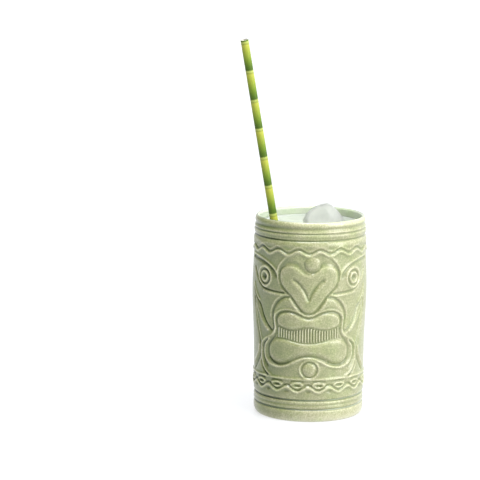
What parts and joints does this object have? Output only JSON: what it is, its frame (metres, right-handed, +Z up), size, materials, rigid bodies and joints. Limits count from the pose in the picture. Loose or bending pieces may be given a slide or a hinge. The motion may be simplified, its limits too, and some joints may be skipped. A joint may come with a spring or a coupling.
{
  "type": "tiki mug",
  "caption": "Cast and glazed stoneware tiki mug with a face in relief, filled with a pale drink and ice, and a paper straw.",
  "frame": {"origin": "middle of the flat foot", "axes": "+Z up the mug's axis, the face looks along -Y, +X to the face's left hand, which is right in the picture"},
  "size_m": [0.0988, 0.0884, 0.2935],
  "materials": {
    "celadon_glaze": "glossy grey-green glaze, dark where it pools in the grooves and pale on the ridges",
    "drink": "cloudy pale liquid",
    "ice": "wet, translucent",
    "bamboo_print_paper": "printed like green bamboo cane, satin",
    "plain_paper": "matte white"
  },
  "bodies": {
    "mug": {"mug_body": "celadon_glaze"},
    "drink_and_ice": {"drink": "drink", "ice_cube_1": "ice", "ice_cube_2": "ice", "ice_cube_3": "ice", "ice_cube_4": "ice", "ice_cube_5": "ice", "ice_cube_6": "ice", "ice_cube_7": "ice", "ice_cube_8": "ice"},
    "lump": {"ice_lump": "ice"},
    "straw": {"straw_printed_ply": "bamboo_print_paper", "straw_middle_ply": "plain_paper", "straw_inner_ply": "plain_paper"}
  },
  "joints": [
    {"name": "stir", "type": "hinge", "parent": "mug", "child": "drink_and_ice", "pos_m": [0, 0, 0.149], "axis": [0, 0, 1], "continuous": true},
    {"name": "straw_lift", "type": "slide", "parent": "drink_and_ice", "child": "straw", "axis": [-0.1633, -0.1287, 0.9781], "range_m": [0, 0.1]},
    {"name": "lump_lift", "type": "slide", "parent": "drink_and_ice", "child": "lump", "axis": [0, 0, 1], "range_m": [0, 0.06]}
  ]
}
